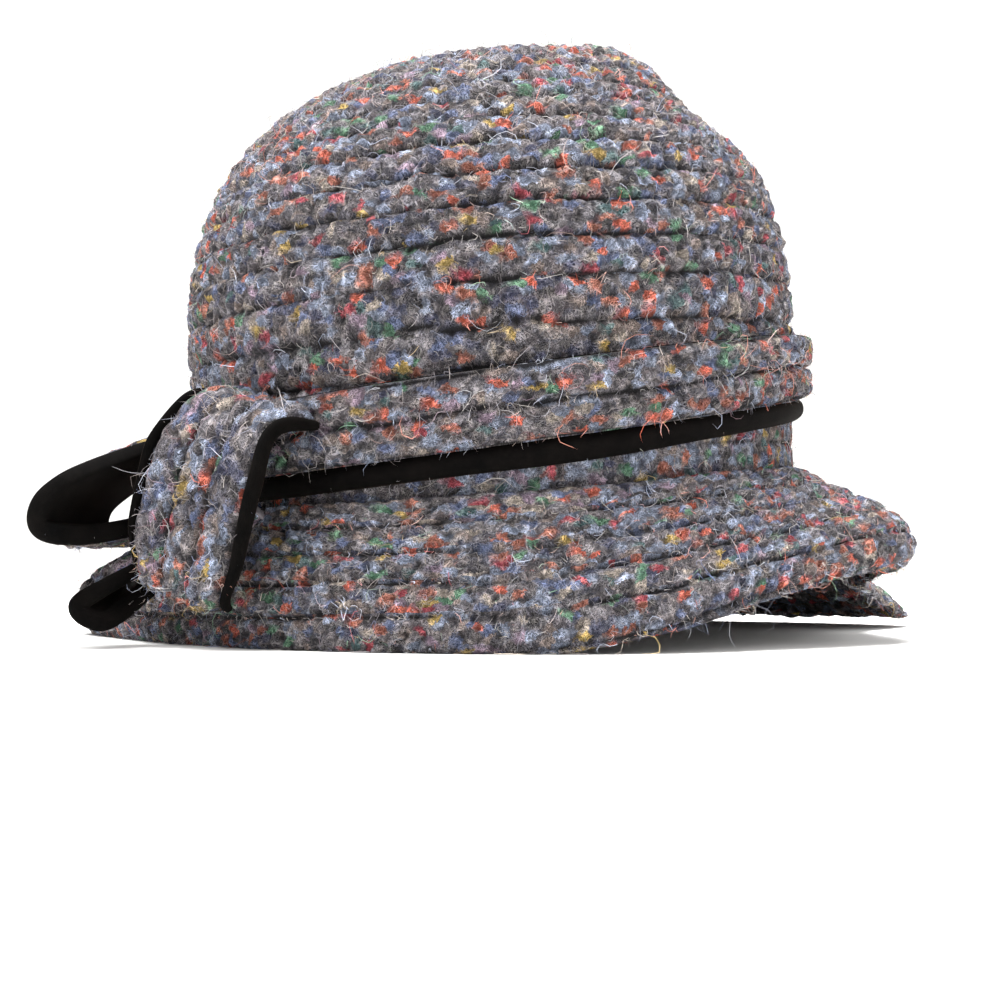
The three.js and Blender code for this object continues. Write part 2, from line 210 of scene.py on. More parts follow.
def crown_turn():
    lean, roll = math.radians(CROWN_LEAN), math.radians(-CROWN_ROLL)
    about_x = np.array([[1, 0, 0], [0, math.cos(lean), -math.sin(lean)], [0, math.sin(lean), math.cos(lean)]])
    about_y = np.array([[math.cos(roll), 0, math.sin(roll)], [0, 1, 0], [-math.sin(roll), 0, math.cos(roll)]])
    return about_x @ about_y


CROWN_TURN = crown_turn()
CROWN_DOWN = CROWN_TURN @ np.array([0, 0, -1.0])


def from_crown(x, y, z):
    points = np.stack(np.broadcast_arrays(x, y, z), axis=-1)
    return points @ CROWN_TURN.T + np.array([0, 0, BAND_PLANE_HEIGHT])


def oval_radius(azimuth):
    turn = np.radians(azimuth)
    return 1 / np.hypot(np.sin(turn) / CROWN_HALF_WIDTH, np.cos(turn) / CROWN_HALF_LENGTH)


def wall_point(azimuth, height, offset):
    down = np.clip((CROWN_EQUATOR - height) / CROWN_EQUATOR, 0, 1)
    radius = oval_radius(azimuth) * mix(1, CROWN_WAIST, down) + offset
    turn = np.radians(azimuth)
    return from_crown(radius * np.sin(turn), -radius * np.cos(turn), height)


def dent_at(azimuth, climb):
    depth = 0
    for dent in DENTS:
        turn = np.mod(azimuth - dent["azimuth"] + 540, 360) - 180
        away = np.hypot(turn / dent["around"], (climb - dent["climb"]) / dent["up"])
        depth = depth + dent["depth"] * CROWN_HEIGHT * np.exp(-away * away)
    return depth


def dome_point(azimuth, climb, offset):
    rise = climb * math.pi / 2
    dent = dent_at(azimuth, climb) * ease(np.clip((1 - climb) / 0.2, 0, 1))
    radius = (oval_radius(azimuth) + offset - dent) * np.cos(rise) ** (2 / CROWN_FULLNESS)
    dome_height = CROWN_HEIGHT - CROWN_EQUATOR + offset - dent
    height = CROWN_EQUATOR + dome_height * np.sin(rise) ** (2 / CROWN_FULLNESS)
    turn = np.radians(azimuth)
    return from_crown(radius * np.sin(turn), -radius * np.cos(turn), height)


def opening_height(azimuth):
    backward = (1 - np.cos(np.radians(azimuth))) / 2
    return -mix(OPENING_DROP_FRONT, OPENING_DROP_BACK, ease(backward))


def brim_point(azimuth, share):
    """The brim's upper face from the opening, share 0, to the rim, share 1."""
    azimuth, share = np.broadcast_arrays(np.asarray(azimuth, float), np.asarray(share, float))
    turn = np.radians(azimuth)
    outward = np.stack([np.sin(turn), -np.cos(turn), np.zeros_like(turn)], axis=-1)
    start = wall_point(azimuth, opening_height(azimuth) - CLEARANCE, 0)
    flare = around(RIM, "flare", azimuth)
    reach = around(RIM, "reach", azimuth) * BRIM_WIDTH
    lift = np.maximum(around(RIM, "lift", azimuth), 0) * BRIM_WIDTH
    opening_radius = np.hypot(start[..., 0], start[..., 1])
    end = outward * (opening_radius + reach)[..., None]
    end[..., 2] = lift + STRIP_THICKNESS * mix(HANGING_EDGE, 1, flare) - BRIM_SETTLE
    length = np.linalg.norm(end - start, axis=-1)[..., None]
    slope = np.radians(mix(SLOPE_HANGING, SLOPE_FLARED, flare))
    arrive = outward * np.cos(slope)[..., None]
    arrive[..., 2] = -np.sin(slope)
    swell = outward * (around(RIM, "belly", azimuth) * BRIM_WIDTH)[..., None]
    leave = unit(CROWN_DOWN + outward * LEAVE_OUTWARD)
    leaving = start + leave * length * LEAVE_REACH + swell * BELLY_AT_START
    arriving = end - arrive * length * ARRIVE_REACH + swell
    s = share[..., None]
    near_opening = start * (1 - s) ** 3 + leaving * 3 * s * (1 - s) ** 2
    return near_opening + arriving * 3 * s * s * (1 - s) + end * s ** 3


def brim_normal(azimuth, share):
    step = 0.01
    azimuth, share = np.broadcast_arrays(np.asarray(azimuth, float), np.asarray(share, float))
    out = brim_point(azimuth, np.minimum(share + step, 1)) - brim_point(azimuth, np.maximum(share - step, 0))
    back = brim_point(azimuth - 1, share) - brim_point(azimuth + 1, share)
    return unit(np.cross(out, back))


# ---- Unevenness ----
def scatter(cells, seed):
    """A steady pseudo-random value from 0 to 1 for each whole-number cell."""
    a = cells[..., 0] * 127.1 + cells[..., 1] * 311.7 + cells[..., 2] * 74.7 + seed * 53.3
    return np.mod(np.sin(a) * 43758.5453, 1.0)


def lumps(points, size, seed):
    """Smooth unevenness from -1 to 1 with lumps of that size."""
    place = points / size + 1000
    cell = np.floor(place)
    within = ease(place - cell)
    total = 0
    for dx in (0, 1):
        for dy in (0, 1):
            for dz in (0, 1):
                corner = cell + np.array([dx, dy, dz])
                weight = np.prod(np.abs(1 - np.array([dx, dy, dz]) - within), axis=-1)
                total = total + weight * scatter(corner, seed)
    return total * 2 - 1


def knit_height(row_share, stitch, points, seed):
    """How high the yarn stands over the strip's own face, under 0 in the seams between the rows.
    row_share: 0 to 1 across a row; stitch: stitches along it."""
    row_share = np.mod(row_share + SEAM_WANDER * lumps(points, 9.0, seed + 7), 1)
    from_middle, from_seam = np.abs(row_share - 0.5), np.minimum(row_share, 1 - row_share)
    ridge = np.abs(np.sin(np.pi * row_share)) ** RIDGE_SQUARENESS
    parted = 1 - RIDGE_PARTING * np.exp(-((from_middle / PARTING_WIDTH) ** 2))
    stitch = stitch + STITCH_WANDER * lumps(points, 17.0, seed + 3)
    loop = np.abs(np.cos(np.pi * (stitch + STITCH_SLANT * from_middle))) ** 0.8
    groove = SEAM_GROOVE * (1 + 0.6 * lumps(points, 38.0, seed + 9))
    height = STRIP_RELIEF * (ridge * parted - 1) - groove * np.exp(-((from_seam / SEAM_WIDTH) ** 2))
    height = height + STITCH_HEIGHT * (loop - 0.7) * ridge
    height = height + LUMP_HEIGHT * (lumps(points, COARSE_LUMP, seed) + lumps(points, MIDDLE_LUMP, seed + 1))
    return height + FINE_LUMP_HEIGHT * lumps(points, FINE_LUMP, seed + 2)


def hollow(height):
    """How deep in the seams or between stitches a point is, from 0 to 1; the tweed is darkened by it as
    painted shade.
    """
    return np.clip(-height / SEAM_DEPTH, 0, 1)


# ---- Making meshes ----
def set_on_points(mesh, name, values):
    """A number kept at each point of the mesh, for its material to read."""
    layer = mesh.attributes.new(name, "FLOAT", "POINT")
    layer.data.foreach_set("value", np.asarray(values, np.float32).ravel())


def signed_volume(mesh):
    """Over 0 where the faces of a closed mesh look outward."""
    mesh.calc_loop_triangles()
    corners = np.zeros(len(mesh.loop_triangles) * 3, np.int32)
    mesh.loop_triangles.foreach_get("vertices", corners)
    places = np.zeros(len(mesh.vertices) * 3)
    mesh.vertices.foreach_get("co", places)
    a, b, c = places.reshape(-1, 3)[corners.reshape(-1, 3)].transpose(1, 0, 2)
    return float(np.einsum("ij,ij->i", a, np.cross(b, c)).sum())


def make_piece(name, points, faces, uvs, depth, material):
    """A closed mesh in the frame from points in millimetres. uvs and depth are given per face corner
    and per point: millimetres along and across the rows, and how deep in the seams the point is, which the
    tweed darkens as painted shade."""
    mesh = bpy.data.meshes.new(name)
    mesh.from_pydata(((points + CROWN_MIDDLE) / 1000).tolist(), [], faces)
    layer = mesh.uv_layers.new(name="rows")
    layer.data.foreach_set("uv", np.asarray(uvs, np.float32).ravel())
    if depth is not None:
        set_on_points(mesh, "depth", depth)
    mesh.polygons.foreach_set("use_smooth", np.ones(len(mesh.polygons), bool))
    mesh.materials.append(material)
    mesh.validate(clean_customdata=False)
    mesh.update()
    if signed_volume(mesh) < 0:
        mesh.flip_normals()
    obj = bpy.data.objects.new(name, mesh)
    bpy.context.scene.collection.objects.link(obj)
    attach(obj, "root")
    return obj


def ring_faces(ring_count, count, joined):
    """Each face between rings that close on themselves: its link, its column and its four points.
    joined: whether the last ring is linked to the first."""
    links = ring_count if joined else ring_count - 1
    i, j = np.repeat(np.arange(links), count), np.tile(np.arange(count), links)
    after, beside = (i + 1) % ring_count, (j + 1) % count
    quads = np.stack([i * count + j, i * count + beside, after * count + beside, after * count + j], axis=1)
    return i, j, quads


def close_ends(points, faces, tips, ring_count, count):
    """Closes a tube's two ends with fans of triangles that meet at the tips."""
    for ring, tip in zip((0, ring_count - 1), tips):
        points = np.vstack([points, tip])
        apex = len(points) - 1
        for k in range(count):
            a, b = ring * count + k, ring * count + (k + 1) % count
            faces.append([apex, a, b] if ring else [apex, b, a])
    return points


def woven(name, rings, material, tips=None, along=None, across=None, depth=None):
    """A closed mesh from rings of points, which close at the tips or else join up last to first. For the
    pattern, along is a row's length round the ring for each link, and across the millimetres across the
    rows for each ring."""
    rings = np.asarray(rings, float)
    ring_count, count = rings.shape[:2]
    i, j, quads = ring_faces(ring_count, count, not tips)
    length = np.full(ring_count, 600.0) if along is None else np.asarray(along, float)
    position = np.arange(ring_count + 1) * 2.0 if across is None else np.append(across, across[-1])
    u = np.stack([j, j + 1, j + 1, j], axis=1) / count * length[i][:, None]
    v = np.stack([position[i], position[i], position[i + 1], position[i + 1]], axis=1)
    uvs = np.stack([u, v], axis=2).reshape(-1, 2)
    points, faces = rings.reshape(-1, 3), quads.tolist()
    if tips:
        points = close_ends(points, faces, tips, ring_count, count)
        for ring in (0, ring_count - 1):
            u = np.arange(count) / count * length[min(ring, ring_count - 2)]
            fan = np.stack([u, np.full(count, position[ring])], axis=1)
            uvs = np.vstack([uvs, np.repeat(fan, 3, axis=0)])
    if depth is not None:
        depth = np.broadcast_to(depth, (ring_count, count)).reshape(-1)
        depth = np.concatenate([depth, np.zeros(len(points) - len(depth))])
    return make_piece(name, points, faces, uvs, depth, material)


def woven_ribbon(name, rings, material, length, shift, depth):
    """Like woven, but the pattern runs along the ribbon, and starts shift millimetres across."""
    ring_count, count = rings.shape[:2]
    i, j, quads = ring_faces(ring_count, count, False)
    along = np.stack([i, i, i + 1, i + 1], axis=1) / (ring_count - 1) * length
    over = np.linalg.norm(np.roll(rings, -1, axis=1) - rings, axis=2).mean(0)
    place = np.concatenate([[0], np.cumsum(over)])
    across = shift + np.stack([place[j], place[j + 1], place[j + 1], place[j]], axis=1)
    uvs = np.vstack([np.stack([along, across], axis=2).reshape(-1, 2), [[0.0, shift]] * (6 * count)])
    faces = quads.tolist()
    tips = (rings[0].mean(0), rings[-1].mean(0))
    points = close_ends(rings.reshape(-1, 3), faces, tips, ring_count, count)
    # The two tips get the same fixed depth, so they are darkened as painted shade.
    depth = np.concatenate([np.broadcast_to(depth, (ring_count, count)).reshape(-1), [EDGE_SHADE_DEPTH] * 2])
    return make_piece(name, points, faces, uvs, depth, material)


def surface_normals(grid):
    """Normals of a grid of rings that close on themselves, pointing away from the hat's middle."""
    ahead = np.roll(grid, -1, axis=1) - np.roll(grid, 1, axis=1)
    normals = unit(np.cross(ahead, np.gradient(grid, axis=0)))
    outward = (normals[0] * (grid[0] - grid[0].mean(0))).sum()
    return normals if outward > 0 else -normals


# ---- Colour ----
def hex_colour(text):
    """An sRGB hex colour as linear red, green, blue and alpha."""
    parts = [int(text[i:i + 2], 16) / 255 for i in (1, 3, 5)]
    return tuple(p / 12.92 if p <= 0.04045 else ((p + 0.055) / 1.055) ** 2.4 for p in parts) + (1.0,)


def add_node(tree, kind, settings=None, **links):
    """A node with its settings, and each input linked to a socket or set to a value."""
    node = tree.nodes.new(kind)
    for key, value in (settings or {}).items():
        setattr(node, key, value)
    for key, value in links.items():
        numbered = key[0] == "i" and key[1:].isdigit()
        socket = node.inputs[int(key[1:]) if numbered else key.replace("_", " ")]
        if isinstance(value, bpy.types.NodeSocket):
            tree.links.new(value, socket)
        else:
            socket.default_value = value
    return node


def ramp(tree, value, stops, interpolation="LINEAR"):
    node = add_node(tree, "ShaderNodeValToRGB", Fac=value)
    node.color_ramp.interpolation = interpolation
    elements = node.color_ramp.elements
    while len(elements) > 1:
        elements.remove(elements[-1])
    elements[0].position, elements[0].color = stops[0][0], hex_colour(stops[0][1])
    for place, text in stops[1:]:
        elements.new(place).color = hex_colour(text)
    return node.outputs["Color"]


def new_material(name):
    material = bpy.data.materials.new(name)
    material.use_nodes = True
    tree = material.node_tree
    tree.nodes.clear()
    return material, tree


def finish_material(tree, **looks):
    """The surface itself. looks: its colour, roughness and so on, by the names of the shader's inputs."""
    shader = add_node(tree, "ShaderNodeBsdfPrincipled", **looks)
    add_node(tree, "ShaderNodeOutputMaterial", Surface=shader.outputs["BSDF"])


def maths(tree, operation, *values):
    numbered = {f"i{k}": value for k, value in enumerate(values)}
    return add_node(tree, "ShaderNodeMath", {"operation": operation}, **numbered).outputs["Value"]


def vector_maths(tree, operation, *values):
    numbered = {f"i{k}": value for k, value in enumerate(values)}
    return add_node(tree, "ShaderNodeVectorMath", {"operation": operation}, **numbered).outputs["Vector"]


def scaled(tree, colour, factor):
    node = add_node(tree, "ShaderNodeVectorMath", {"operation": "SCALE"}, i0=colour, Scale=factor)
    return node.outputs["Vector"]


def unevenness(tree, place, size, detail, roughness, distortion=0.0):
    """Cloudy noise over the rows' coordinates: smaller with a higher size."""
    return add_node(
        tree, "ShaderNodeTexNoise", {"noise_dimensions": "2D"},
        Vector=place, Scale=size, Detail=detail, Roughness=roughness, Distortion=distortion,
    )


def stretch(tree, value, low, high, at_low, at_high):
    """Takes low to high over to at_low to at_high, and stops there."""
    node = add_node(
        tree, "ShaderNodeMapRange", Value=value, From_Min=low, From_Max=high, To_Min=at_low, To_Max=at_high,
    )
    return node.outputs["Result"]


def mixed(tree, share, first, second):
    node = add_node(tree, "ShaderNodeMix", {"data_type": "RGBA"}, i0=share, i6=first, i7=second)
    return node.outputs["Result"]


# How the yarn's colour runs: most of it charcoal to slate, with slubs of each dyed colour between.
SLUB_COLOURS = [
    (0.0, "#35333a"), (0.10, "#6a6468"), (0.20, "#8c888e"), (0.28, "#7f8ca4"), (0.37, "#98a5bf"),
    (0.44, "#586992"), (0.51, "#2f3759"), (0.57, "#1f1e25"), (0.64, "#8b7a72"), (0.69, "#d05632"),
    (0.735, "#a9593e"), (0.795, "#9c8499"), (0.82, "#4f8a66"), (0.855, "#3c6668"), (0.885, "#b23242"),
    (0.91, "#ada092"), (0.945, "#bd9d42"), (0.96, "#48444b"),
]
DULL_COLOURS = [(0.0, "#24242e"), (0.35, "#5f6274"), (0.7, "#6d5f5b"), (1.0, "#938f92")]
LYING_HAIR_COLOURS = [(0.32, "#8d7468"), (0.44, "#a9a6ad"), (0.55, "#cfc6bd"), (0.68, "#f1ebe2")]


# The hairs that lie on the cloth, in layers: size, shift in the pattern, and lines to each fold.
LYING_HAIRS = [(0.42, 13.0, 6.0), (0.75, 57.0, 5.0), (0.3, 91.0, 9.0), (0.6, 140.0, 6.0)]


def curled_fibres(tree, place, size, shift, lines):
    """Thin curly lines like mohair hairs lying on the cloth: contours of a smooth unevenness."""
    moved = vector_maths(tree, "ADD", place, (shift, shift * 0.7, 0.0))
    field = unevenness(tree, moved, size, 1.2, 0.45, 1.1).outputs["Fac"]
    fold = maths(tree, "PINGPONG", maths(tree, "MULTIPLY", field, lines), 0.5)
    return stretch(tree, fold, 0.025, 0.12, 1.0, 0.0)


def yarn_colour(tree, lighten):
    """The tweed yarn's colour from the rows' own coordinates, in millimetres: slubs of one colour each,
    with uneven outlines, streaked with lighter and darker fibres; painted shade darkens seams and stitch
    gaps."""
    rows = add_node(tree, "ShaderNodeUVMap", {"uv_map": "rows"}).outputs["UV"]
    wander = unevenness(tree, rows, 0.22, 2.0, 0.6).outputs["Color"]
    shift = vector_maths(tree, "MULTIPLY_ADD", wander, (4.0, 3.0, 0.0), rows)
    fine = unevenness(tree, rows, 1.1, 3.0, 0.7).outputs["Color"]
    shift = vector_maths(tree, "MULTIPLY_ADD", fine, (2.3, 2.3, 0.0), shift)
    squeezed = vector_maths(tree, "MULTIPLY", shift, (0.29, 0.42, 1.0))
    slubs = add_node(
        tree, "ShaderNodeTexVoronoi", {"voronoi_dimensions": "2D"},
        Vector=squeezed, Scale=1.0, Randomness=1.0,
    )
    pick = add_node(tree, "ShaderNodeSeparateColor", Color=slubs.outputs["Color"])
    slub = ramp(tree, pick.outputs["Red"], SLUB_COLOURS, "CONSTANT")
    edge = stretch(tree, slubs.outputs["Distance"], 0.3, 0.7, 0.0, 0.75)
    base = ramp(tree, pick.outputs["Green"], DULL_COLOURS)
    worn = mixed(tree, edge, slub, base)
    stretched = vector_maths(tree, "MULTIPLY", shift, (1.0, 2.6, 1.0))
    hairs = unevenness(tree, stretched, 2.2, 6.0, 0.75, 1.4).outputs["Fac"]
    light = stretch(tree, hairs, 0.36, 0.62, 0.12, 1.75)
    depth = add_node(tree, "ShaderNodeAttribute", {"attribute_name": "depth"}).outputs["Fac"]
    # Painted shade: the colour darkens with the seam depth, down to a twentieth at the deepest, in the seams
    # and between stitches.
    seam_shade = stretch(tree, depth, 0.2, 0.8, 1.0, 0.05)
    strength = maths(tree, "MULTIPLY", maths(tree, "MULTIPLY", light, seam_shade), lighten)
    return scaled(tree, worn, strength), worn, hairs, rows, seam_shade


def tweed_material():
    """Knitted wool and mohair: dull and rough all over. Pale and coloured fibres lie curled on dark yarn,
    and a fine relief along them scatters the light; the faint grey sheen is the down between them."""
    material, tree = new_material("knitted wool and mohair tweed, brushed up")
    dark, yarn, hairs, rows, seam_shade = yarn_colour(tree, 0.3)
    layers = [curled_fibres(tree, rows, *layer) for layer in LYING_HAIRS]
    over = layers[0]
    for layer in layers[1:]:
        over = maths(tree, "MAXIMUM", over, layer)
    thick = unevenness(tree, rows, 0.4, 4.0, 0.65)
    amount = maths(tree, "MULTIPLY", stretch(tree, thick.outputs["Fac"], 0.36, 0.62, 0.2, 1.0), over)
    # Painted shade: the lying hairs fade out down in the seams and between stitches, as the yarn darkens
    # there.
    amount = maths(tree, "MULTIPLY", amount, seam_shade)
    pale = ramp(tree, thick.outputs["Color"], LYING_HAIR_COLOURS)
    fibre = mixed(tree, 0.4, scaled(tree, yarn, 3.2), pale)
    relief = maths(tree, "MULTIPLY_ADD", over, 0.4, hairs)
    bump = add_node(tree, "ShaderNodeBump", Strength=1.0, Distance=0.0007, Height=relief)
    finish_material(
        tree, Base_Color=mixed(tree, amount, dark, fibre), Roughness=0.95, Normal=bump.outputs["Normal"],
        Specular_IOR_Level=0.12, Sheen_Weight=0.12, Sheen_Roughness=0.6, Sheen_Tint=hex_colour("#a8a4a8"),
    )
    return material


def hair_material():
    """Loose mohair: each hair takes the colour of the yarn under it, bleached toward pale grey brown,
    and is a little glossy, so single hairs glint over the dull cloth."""
    material, tree = new_material("loose mohair hairs, pulled out of the yarn")
    tone = add_node(tree, "ShaderNodeAttribute", {"attribute_name": "tone"}).outputs["Fac"]
    pale = ramp(tree, tone, [(0.0, "#3a3536"), (0.3, "#8f8580"), (0.6, "#c9bfb5"), (1.0, "#fbf4ea")])
    colour = mixed(tree, 0.5, yarn_colour(tree, 2.2)[0], pale)
    finish_material(tree, Base_Color=colour, Roughness=0.55, Specular_IOR_Level=0.3)
    return material


def velvet_material():
    """Short upright silk pile: almost black face on, brown where the pile is seen from the side,
    which the sheen gives, with faint crushed patches."""
    material, tree = new_material("dark brown silk velvet, short upright pile")
    place = add_node(tree, "ShaderNodeTexCoord").outputs["Object"]
    crushed = add_node(tree, "ShaderNodeTexNoise", Vector=place, Scale=160.0, Detail=3.0, Roughness=0.6)
    colour = ramp(tree, crushed.outputs["Fac"], [(0.3, "#020202"), (0.7, "#0a0807")])
    pile = add_node(tree, "ShaderNodeTexNoise", Vector=place, Scale=3200.0, Detail=2.0)
    bump = add_node(tree, "ShaderNodeBump", Strength=0.5, Distance=0.0002, Height=pile.outputs["Fac"])
    finish_material(
        tree, Base_Color=colour, Roughness=0.9, Normal=bump.outputs["Normal"],
        Specular_IOR_Level=0.05, Sheen_Weight=0.08, Sheen_Roughness=0.35, Sheen_Tint=hex_colour("#6a5242"),
    )
    return material


def lining_material():
    """Black woven lining: a fine plain weave with a soft gloss."""
    material, tree = new_material("black acetate lining, plain woven")
    rows = add_node(tree, "ShaderNodeUVMap", {"uv_map": "rows"}).outputs["UV"]
    weave, cross = (
        add_node(tree, "ShaderNodeTexWave", {"bands_direction": way}, Vector=rows, Scale=1.4, Distortion=0.6)
        for way in "XY"
    )
    both = maths(tree, "MAXIMUM", weave.outputs["Fac"], cross.outputs["Fac"])
    colour = ramp(tree, both, [(0.0, "#070708"), (1.0, "#17161a")])
    bump = add_node(tree, "ShaderNodeBump", Strength=0.4, Distance=0.0001, Height=both)
    finish_material(tree, Base_Color=colour, Roughness=0.5, Normal=bump.outputs["Normal"])
    return material


tweed = tweed_material()
hair = hair_material()
velvet = velvet_material()
lining_cloth = lining_material()

# Places where hairs can root: points, outward normals and pattern coordinates of every tweed surface.
roots = []


def columns(count):
    """Azimuths round the hat, starting at the back so that the pattern's join is there."""
    return 180 + 360 * np.arange(count) / count


def keep_roots(points, normals, u, v):
    roots.append((points.reshape(-1, 3), normals.reshape(-1, 3), u.ravel(), v.ravel()))


# ---- Crown ----
def make_crown():
    azimuth = columns(CROWN_COLUMNS)
    wall_rows, climb_length = 4, (math.pi / 4) * (CROWN_HALF_WIDTH + CROWN_HEIGHT - CROWN_EQUATOR)
    dome_rows = round(climb_length / STRIP_PITCH)
    rings, row_of, share_of = [], [], []
    for row in range(wall_rows + dome_rows):
        for k in range(RINGS_PER_ROW):
            share = k / RINGS_PER_ROW
            if row < wall_rows:
                height = mix(opening_height(azimuth) - CROWN_TUCK, CROWN_EQUATOR, (row + share) / wall_rows)
                rings.append(wall_point(azimuth, height, 0))
            else:
                climb = (row - wall_rows + share) / dome_rows * TOP_CLIMB
                rings.append(dome_point(azimuth, climb, 0))
            row_of.append(row)
            share_of.append(share)
    outside = np.array(rings)
    normals = surface_normals(outside)
    row_of, share_of = np.array(row_of), np.array(share_of)
    steps = np.linalg.norm(np.roll(outside, -1, axis=1) - outside, axis=2).sum(1)
    row_length = np.array([steps[row_of == row].mean() for row in range(wall_rows + dome_rows)])
    stitches = np.maximum(np.round(row_length / STITCH_LENGTH), 4)
    turn = np.arange(CROWN_COLUMNS) / CROWN_COLUMNS
    wave = 0.05 * np.sin(2 * np.pi * (turn * 3 + row_of[:, None] * 0.37))
    wave += 0.04 * np.sin(2 * np.pi * (turn * 7 + row_of[:, None] * 0.71))
    row_share = np.clip(share_of[:, None] + wave * np.sin(np.pi * share_of[:, None]), 0, 1)
    stitch = stitches[row_of][:, None] * turn[None, :] + row_of[:, None] * 0.37
    height = knit_height(row_share, stitch, outside, 1)
    calm = np.ones(len(outside))
    calm[: 2 * RINGS_PER_ROW] = 0.5
    lifted = outside + normals * (height * calm[:, None])[..., None]
    seam_shade = hollow(height)
    across = (row_of + share_of) * STRIP_PITCH
    u, v = np.broadcast_arrays(turn * row_length[row_of][:, None], across[:, None])
    keep_roots(lifted[:-4], normals[:-4], u[:-4], v[:-4])
    levels = (opening_height(azimuth) - CROWN_TUCK, 0 * azimuth)
    inner = [wall_point(azimuth, level, -STRIP_THICKNESS) for level in levels]
    inner += [dome_point(azimuth, i / 10 * TOP_CLIMB, -STRIP_THICKNESS) for i in range(11)]
    inner = np.array(inner[::-1])
    every = np.concatenate([inner, lifted])
    along = np.concatenate([np.full(len(inner), row_length[0]), row_length[row_of]])[:-1]
    tips = (dome_point(0, 1.0, -STRIP_THICKNESS), dome_point(0, 1.0, -STRIP_RELIEF))
    every_across = np.concatenate([np.arange(len(inner)) * 8.0, across])
    every_depth = np.concatenate([np.zeros((len(inner), CROWN_COLUMNS)), seam_shade])
    return woven("crown_knit", every, tweed, tips=tips, along=along, across=every_across, depth=every_depth)


# ---- Brim ----
def make_brim():
    azimuth = columns(BRIM_COLUMNS)
    turn = np.arange(BRIM_COLUMNS) / BRIM_COLUMNS
    count = BRIM_ROWS * RINGS_PER_ROW
    shares = np.arange(count + 1) / count
    grid_azimuth, grid_share = np.meshgrid(azimuth, shares)
    face = brim_point(grid_azimuth, grid_share)
    normals = brim_normal(grid_azimuth, grid_share)
    row = np.minimum((shares * BRIM_ROWS).astype(int), BRIM_ROWS - 1)
    share_in = shares * BRIM_ROWS - row
    row_length = np.linalg.norm(np.roll(face, -1, axis=1) - face, axis=2).sum(1)
    row_length = np.array([row_length[row == r].mean() for r in range(BRIM_ROWS)])
    stitches = np.round(row_length / STITCH_LENGTH)
    stitch = stitches[row][:, None] * turn[None, :] + row[:, None] * 0.41
    fade = np.clip(shares / 0.04, 0, 1)[:, None]
    top_height = knit_height(share_in[:, None], stitch, face, 11) * fade
    top = face + normals * top_height[..., None]
    under_height = knit_height(share_in[:, None], stitch + 0.5, face, 17)
    under = face - normals * (STRIP_THICKNESS + under_height)[..., None]
    edge_out = unit(face[-1] - face[-3])
    edge = []
    for part in (0.25, 0.5, 0.75):
        bulge = 1.4 * math.sin(math.pi * part) + 0.3 * lumps(face[-1] + part * 3, 2.5, 5)
        edge.append(mix(top[-1], under[-1], part) + edge_out * np.reshape(bulge, (-1, 1)))
    rings = np.concatenate([top, np.array(edge), under[::-1]])
    rings[..., 2] = np.maximum(rings[..., 2], 0.05)
    row_all = np.concatenate([row, [BRIM_ROWS - 1] * 3, row[::-1]])
    across_top = shares * BRIM_ROWS * STRIP_PITCH
    rim = across_top[-1]
    across_edge = rim + np.array([1.2, 2.4, 3.6])
    across = np.concatenate([across_top, across_edge, rim + 4.8 + (rim - across_top[::-1])])
    edge_seam = np.full((3, BRIM_COLUMNS), 0.2)
    seam_all = np.concatenate([hollow(top_height), edge_seam, hollow(under_height)[::-1]])
    u = turn[None, :] * row_length[row][:, None]
    v = np.broadcast_to(across_top[:, None], u.shape)
    keep_roots(top[3:], normals[3:], u[3:], v[3:])
    keep_roots(under[4:], -normals[4:], u[4:], v[4:] + 60)
    edge_u = turn * row_length[-1]
    # The edge twice, so that it is hairier.
    for ring in np.repeat(edge, 2, axis=0):
        keep_roots(ring, edge_out, edge_u, np.full(BRIM_COLUMNS, rim))
    return woven("brim_knit", rings, tweed, along=row_length[row_all], across=across, depth=seam_all)


# ---- Hatband and its velvet ----
def band_height_at(azimuth, height):
    return height + BAND_SLANT * np.sin(np.radians(azimuth))


def make_hatband():
    azimuth = columns(BAND_COLUMNS)
    turn = np.arange(BAND_COLUMNS) / BAND_COLUMNS
    rows, steps = 2, 14
    outer, row_of, share_of, across = [], [], [], []
    for row in range(rows):
        for k in range(steps + (row == rows - 1)):
            share = k / steps
            height = band_height_at(azimuth, BAND_LIFT + BAND_HEIGHT * (row + share) / rows)
            outer.append(wall_point(azimuth, height, BAND_OUT + STRIP_THICKNESS - 0.4))
            row_of.append(row)
            share_of.append(min(share, 1))
            across.append((row + share) * STRIP_PITCH)
    outer = np.array(outer)
    row_of, share_of, across = np.array(row_of), np.array(share_of), np.array(across)
    normals = surface_normals(outer)
    length = np.linalg.norm(np.roll(outer[0], -1, axis=0) - outer[0], axis=1).sum()
    stitch = np.round(length / STITCH_LENGTH) * turn[None, :] + row_of[:, None] * 0.5
    height = knit_height(share_of[:, None], stitch, outer, 23)
    lifted = outer + normals * height[..., None]
    back_heights = [band_height_at(azimuth, BAND_LIFT + BAND_HEIGHT * share) for share in (1.0, 0.5, 0.0)]
    back = [wall_point(azimuth, height_at, BAND_OUT) for height_at in back_heights]
    top_edge = mix(lifted[-1], back[0], 0.5) + np.array([0, 0, 0.3])
    bottom_edge = mix(lifted[0], back[2], 0.5) - np.array([0, 0, 0.3])
    rings = np.concatenate([lifted, [top_edge], back, [bottom_edge]])
    # Painted shade: the band's hidden back rings get a fixed seam depth of 0.4, which darkens their colour.
    seam_shade = np.concatenate([hollow(height), np.full((5, BAND_COLUMNS), 0.4)])
    across_all = np.concatenate([across, across[-1] + np.array([2, 4, 12, 20, 22])]) + 200
    keep_roots(lifted, normals, *np.broadcast_arrays(turn * length, across[:, None] + 200))
    along = np.full(len(rings), length)
    return woven("hatband_knit", rings, tweed, along=along, across=across_all, depth=seam_shade)


